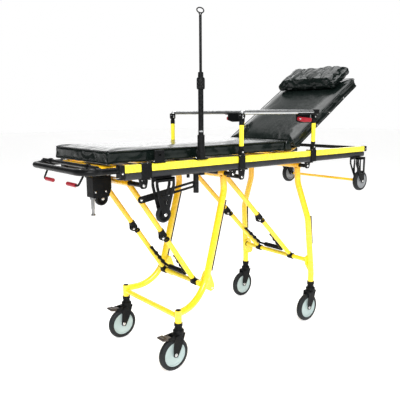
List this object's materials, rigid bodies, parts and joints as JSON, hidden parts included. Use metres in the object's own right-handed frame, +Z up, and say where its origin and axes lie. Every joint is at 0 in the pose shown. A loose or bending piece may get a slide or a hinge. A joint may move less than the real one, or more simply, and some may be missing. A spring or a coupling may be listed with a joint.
{
  "type": "stretcher trolley",
  "caption": "Folding wheeled stretcher on braced legs with swivel casters, padded deck, tilting padded backrest with pillow, fold-down guard rails and a drip pole.",
  "frame": {"origin": "on the floor, on the centre plane, under the middle of the whole length", "axes": "+X towards the head end, +Y to the left of someone at the foot end who looks along the trolley, +Z up"},
  "size_m": [1.879, 0.601, 1.6114],
  "materials": {
    "yellow_paint": "glossy yellow powder coat",
    "black_plastic": "fine-grained black moulding",
    "black_vinyl": "smooth coated upholstery with a soft shine",
    "black_steel": "satin black powder coat",
    "bright_steel": "turned bright steel",
    "satin_aluminium": "satin anodised tube",
    "red_plastic": "moulded red grip",
    "grey_rubber": "dark grey rolling rubber"
  },
  "bodies": {
    "chassis": {"deck_frame": "yellow_paint", "side_rail_right": "yellow_paint", "side_rail_left": "yellow_paint", "foot_loop": "black_plastic", "head_bar": "black_plastic", "flat_pad": "black_vinyl", "rear_leg_hanger": "black_steel", "front_leg_hanger": "black_steel", "rear_brace_hanger": "black_steel", "front_brace_hanger": "black_steel", "load_bracket_right": "black_steel", "load_bracket_left": "black_steel", "load_wheel_axle": "yellow_paint", "foot_wheel_bracket_right": "black_steel", "foot_wheel_bracket_left": "black_steel", "stay_arm": "black_steel", "lock_box": "black_plastic", "lock_pin": "bright_steel", "pole_socket": "black_plastic", "pole_outer_tube": "black_steel", "spare_bracket": "black_plastic"},
    "backrest": {"backrest_frame": "yellow_paint", "backrest_pad": "black_vinyl", "pillow": "black_vinyl"},
    "strut_cylinder": {"strut_cylinder": "black_steel"},
    "strut_rod": {"strut_rod": "bright_steel"},
    "guard_foot_post_right": {"guard_foot_post_right": "yellow_paint"},
    "guard_head_post_right": {"guard_head_post_right": "yellow_paint"},
    "guard_rail_right": {"guard_rail_right": "satin_aluminium"},
    "guard_lever_right": {"guard_lever_right": "red_plastic"},
    "guard_foot_post_left": {"guard_foot_post_left": "yellow_paint"},
    "guard_head_post_left": {"guard_head_post_left": "yellow_paint"},
    "guard_rail_left": {"guard_rail_left": "satin_aluminium"},
    "guard_lever_left": {"guard_lever_left": "red_plastic"},
    "rear_leg_frame": {"rear_leg_frame": "yellow_paint"},
    "rear_upper_brace": {"rear_upper_brace": "yellow_paint"},
    "rear_lower_brace": {"rear_lower_brace": "yellow_paint"},
    "rear_release_bail": {"rear_release_bail": "black_plastic"},
    "front_leg_frame": {"front_leg_frame": "yellow_paint"},
    "front_upper_brace": {"front_upper_brace": "yellow_paint"},
    "front_lower_brace": {"front_lower_brace": "yellow_paint"},
    "front_release_bail": {"front_release_bail": "black_plastic"},
    "caster_fork_foot_right": {"caster_fork_foot_right": "black_plastic"},
    "caster_wheel_foot_right": {"caster_wheel_foot_right": "grey_rubber"},
    "brake_pedal_foot_right": {"brake_pedal_foot_right": "black_plastic"},
    "caster_fork_foot_left": {"caster_fork_foot_left": "black_plastic"},
    "caster_wheel_foot_left": {"caster_wheel_foot_left": "grey_rubber"},
    "brake_pedal_foot_left": {"brake_pedal_foot_left": "black_plastic"},
    "caster_fork_head_right": {"caster_fork_head_right": "black_plastic"},
    "caster_wheel_head_right": {"caster_wheel_head_right": "grey_rubber"},
    "caster_fork_head_left": {"caster_fork_head_left": "black_plastic"},
    "caster_wheel_head_left": {"caster_wheel_head_left": "grey_rubber"},
    "load_wheel_right": {"load_wheel_right": "grey_rubber"},
    "foot_wheel_right": {"foot_wheel_right": "grey_rubber"},
    "release_lever_right": {"release_lever_right": "red_plastic"},
    "load_wheel_left": {"load_wheel_left": "grey_rubber"},
    "foot_wheel_left": {"foot_wheel_left": "grey_rubber"},
    "release_lever_left": {"release_lever_left": "red_plastic"},
    "pole_collar": {"pole_collar": "black_plastic"},
    "pole_rod": {"pole_rod": "black_steel"}
  },
  "joints": [
    {"name": "backrest_tilt", "type": "hinge", "parent": "chassis", "child": "backrest", "pos_m": [0.3125, 0, 0.955], "axis": [0, -1, 0], "range_deg": [-30.2, 38]},
    {"name": "strut_swing", "type": "hinge", "parent": "chassis", "child": "strut_cylinder", "pos_m": [0.3465, 0, 0.888], "axis": [0, -1, 0], "range_deg": [-25, 31.5]},
    {"name": "strut_extend", "type": "slide", "parent": "strut_cylinder", "child": "strut_rod", "axis": [0.6333, 0, 0.7739], "range_m": [-0.036, 0.045]},
    {"name": "guard_fold_right", "type": "hinge", "parent": "chassis", "child": "guard_foot_post_right", "pos_m": [-0.1165, -0.27, 0.99], "axis": [0, -1, 0], "range_deg": [0, 84]},
    {"name": "guard_head_post_swing_right", "type": "hinge", "parent": "chassis", "child": "guard_head_post_right", "pos_m": [0.4205, -0.27, 0.99], "axis": [0, -1, 0], "range_deg": [0, 84]},
    {"name": "guard_rail_swing_right", "type": "hinge", "parent": "guard_foot_post_right", "child": "guard_rail_right", "pos_m": [-0.1165, -0.27, 1.15], "axis": [0, -1, 0], "range_deg": [-84, 0]},
    {"name": "guard_lever_squeeze_right", "type": "hinge", "parent": "guard_rail_right", "child": "guard_lever_right", "pos_m": [0.3005, -0.27, 1.14], "axis": [0, -1, 0], "range_deg": [0, 8]},
    {"name": "guard_fold_left", "type": "hinge", "parent": "chassis", "child": "guard_foot_post_left", "pos_m": [-0.1165, 0.27, 0.99], "axis": [0, -1, 0], "range_deg": [0, 84]},
    {"name": "guard_head_post_swing_left", "type": "hinge", "parent": "chassis", "child": "guard_head_post_left", "pos_m": [0.4205, 0.27, 0.99], "axis": [0, -1, 0], "range_deg": [0, 84]},
    {"name": "guard_rail_swing_left", "type": "hinge", "parent": "guard_foot_post_left", "child": "guard_rail_left", "pos_m": [-0.1165, 0.27, 1.15], "axis": [0, -1, 0], "range_deg": [-84, 0]},
    {"name": "guard_lever_squeeze_left", "type": "hinge", "parent": "guard_rail_left", "child": "guard_lever_left", "pos_m": [0.3005, 0.27, 1.14], "axis": [0, -1, 0], "range_deg": [0, 8]},
    {"name": "rear_legs_fold", "type": "hinge", "parent": "chassis", "child": "rear_leg_frame", "pos_m": [-0.1505, 0, 0.885], "axis": [0, 1, 0], "range_deg": [0, 60.35]},
    {"name": "rear_brace_swing", "type": "hinge", "parent": "chassis", "child": "rear_upper_brace", "pos_m": [-0.6535, 0, 0.878], "axis": [0, 1, 0], "range_deg": [-31.73, 0]},
    {"name": "rear_knee", "type": "hinge", "parent": "rear_upper_brace", "child": "rear_lower_brace", "pos_m": [-0.4815, 0, 0.605], "axis": [0, 1, 0], "range_deg": [0, 160.21]},
    {"name": "rear_bail_lift", "type": "hinge", "parent": "rear_lower_brace", "child": "rear_release_bail", "pos_m": [-0.3881, 0, 0.49615], "axis": [0, -1, 0], "range_deg": [0, 20]},
    {"name": "front_legs_fold", "type": "hinge", "parent": "chassis", "child": "front_leg_frame", "pos_m": [0.4065, 0, 0.885], "axis": [0, 1, 0], "range_deg": [0, 80]},
    {"name": "front_brace_swing", "type": "hinge", "parent": "chassis", "child": "front_upper_brace", "pos_m": [-0.0915, 0, 0.867], "axis": [0, 1, 0], "range_deg": [-28.79, 0]},
    {"name": "front_knee", "type": "hinge", "parent": "front_upper_brace", "child": "front_lower_brace", "pos_m": [0.1585, 0, 0.6], "axis": [0, 1, 0], "range_deg": [0, 168.09]},
    {"name": "front_bail_lift", "type": "hinge", "parent": "front_lower_brace", "child": "front_release_bail", "pos_m": [0.2883, 0, 0.49228], "axis": [0, -1, 0], "range_deg": [0, 20]},
    {"name": "caster_swivel_foot_right", "type": "hinge", "parent": "rear_leg_frame", "child": "caster_fork_foot_right", "pos_m": [-0.4705, -0.228, 0.2075], "axis": [0, 0, 1], "continuous": true},
    {"name": "caster_roll_foot_right", "type": "hinge", "parent": "caster_fork_foot_right", "child": "caster_wheel_foot_right", "pos_m": [-0.5005, -0.228, 0.078], "axis": [0, 1, 0], "continuous": true},
    {"name": "brake_press_foot_right", "type": "hinge", "parent": "caster_fork_foot_right", "child": "brake_pedal_foot_right", "pos_m": [-0.5325, -0.228, 0.163], "axis": [0, -1, 0], "range_deg": [0, 8]},
    {"name": "caster_swivel_foot_left", "type": "hinge", "parent": "rear_leg_frame", "child": "caster_fork_foot_left", "pos_m": [-0.4705, 0.228, 0.2075], "axis": [0, 0, 1], "continuous": true},
    {"name": "caster_roll_foot_left", "type": "hinge", "parent": "caster_fork_foot_left", "child": "caster_wheel_foot_left", "pos_m": [-0.5005, 0.228, 0.078], "axis": [0, 1, 0], "continuous": true},
    {"name": "brake_press_foot_left", "type": "hinge", "parent": "caster_fork_foot_left", "child": "brake_pedal_foot_left", "pos_m": [-0.5325, 0.228, 0.163], "axis": [0, -1, 0], "range_deg": [0, 8]},
    {"name": "caster_swivel_head_right", "type": "hinge", "parent": "front_leg_frame", "child": "caster_fork_head_right", "pos_m": [0.4495, -0.262, 0.2075], "axis": [0, 0, 1], "continuous": true},
    {"name": "caster_roll_head_right", "type": "hinge", "parent": "caster_fork_head_right", "child": "caster_wheel_head_right", "pos_m": [0.4195, -0.262, 0.078], "axis": [0, 1, 0], "continuous": true},
    {"name": "caster_swivel_head_left", "type": "hinge", "parent": "front_leg_frame", "child": "caster_fork_head_left", "pos_m": [0.4495, 0.262, 0.2075], "axis": [0, 0, 1], "continuous": true},
    {"name": "caster_roll_head_left", "type": "hinge", "parent": "caster_fork_head_left", "child": "caster_wheel_head_left", "pos_m": [0.4195, 0.262, 0.078], "axis": [0, 1, 0], "continuous": true},
    {"name": "load_wheel_roll_right", "type": "hinge", "parent": "chassis", "child": "load_wheel_right", "pos_m": [0.8735, -0.275, 0.766], "axis": [0, 1, 0], "continuous": true},
    {"name": "foot_wheel_roll_right", "type": "hinge", "parent": "chassis", "child": "foot_wheel_right", "pos_m": [-0.5725, -0.269, 0.75], "axis": [0, 1, 0], "continuous": true},
    {"name": "release_squeeze_right", "type": "hinge", "parent": "chassis", "child": "release_lever_right", "pos_m": [-0.8655, -0.176, 0.966], "axis": [0, 1, 0], "range_deg": [0, 20]},
    {"name": "load_wheel_roll_left", "type": "hinge", "parent": "chassis", "child": "load_wheel_left", "pos_m": [0.8735, 0.275, 0.766], "axis": [0, 1, 0], "continuous": true},
    {"name": "foot_wheel_roll_left", "type": "hinge", "parent": "chassis", "child": "foot_wheel_left", "pos_m": [-0.5725, 0.269, 0.75], "axis": [0, 1, 0], "continuous": true},
    {"name": "release_squeeze_left", "type": "hinge", "parent": "chassis", "child": "release_lever_left", "pos_m": [-0.8655, 0.176, 0.966], "axis": [0, 1, 0], "range_deg": [0, 20]},
    {"name": "pole_clamp_twist", "type": "hinge", "parent": "chassis", "child": "pole_collar", "pos_m": [-0.3635, -0.27, 1.3], "axis": [0, 0, 1], "range_deg": [0, 90]},
    {"name": "pole_raise", "type": "slide", "parent": "chassis", "child": "pole_rod", "axis": [0, 0, 1], "range_m": [-0.22, 0.03]}
  ],
  "couplings": [
    {"joint": "strut_swing", "follows": "backrest_tilt", "ratio": 0.812},
    {"joint": "strut_extend", "follows": "backrest_tilt", "m_per_rad": 0.066},
    {"joint": "guard_head_post_swing_right", "follows": "guard_fold_right", "ratio": 1},
    {"joint": "guard_rail_swing_right", "follows": "guard_fold_right", "ratio": -1},
    {"joint": "guard_head_post_swing_left", "follows": "guard_fold_left", "ratio": 1},
    {"joint": "guard_rail_swing_left", "follows": "guard_fold_left", "ratio": -1},
    {"joint": "rear_brace_swing", "follows": "rear_legs_fold", "ratio": -0.52492},
    {"joint": "rear_knee", "follows": "rear_legs_fold", "ratio": 2.6539},
    {"joint": "front_brace_swing", "follows": "front_legs_fold", "ratio": -0.35931},
    {"joint": "front_knee", "follows": "front_legs_fold", "ratio": 2.1005}
  ]
}
